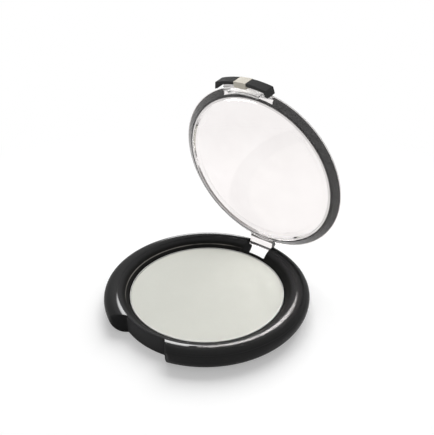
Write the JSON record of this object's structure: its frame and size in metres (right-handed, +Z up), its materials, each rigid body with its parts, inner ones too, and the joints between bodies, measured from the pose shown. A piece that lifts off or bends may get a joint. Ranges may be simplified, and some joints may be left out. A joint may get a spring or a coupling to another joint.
{
  "type": "pressed powder compact",
  "caption": "Round pressed-powder compact: black dished base holding powder in a metal pan, with a clear hinged lid that closes by a snap tab at the front.",
  "frame": {"origin": "centre of the base's flat underside, which the compact stands on", "axes": "+Z up out of the base, +Y from the thumb tab at the front to the hinge at the back, +X along the hinge axis"},
  "size_m": [0.078, 0.0767, 0.0809],
  "materials": {
    "case_black": "polished black moulding",
    "pan_metal": "drawn, bright edge",
    "powder": "pressed, dead matt",
    "adhesive": "matt",
    "pin_steel": "drawn wire",
    "lid_clear": "clear, polished",
    "trim_black": "satin black"
  },
  "bodies": {
    "base": {"base_case": "case_black", "powder_pan": "pan_metal", "pressed_powder": "powder", "pan_adhesive": "adhesive", "hinge_pin": "pin_steel"},
    "lid": {"lid_window": "lid_clear", "lid_trim": "trim_black", "clasp_pad_left": "trim_black", "clasp_pad_right": "trim_black"}
  },
  "joints": [
    {"name": "lid_hinge", "type": "hinge", "parent": "base", "child": "lid", "pos_m": [0, 0.0369, 0.0061], "axis": [-1, 0, 0], "range_deg": [-76.4, 98.6]}
  ]
}
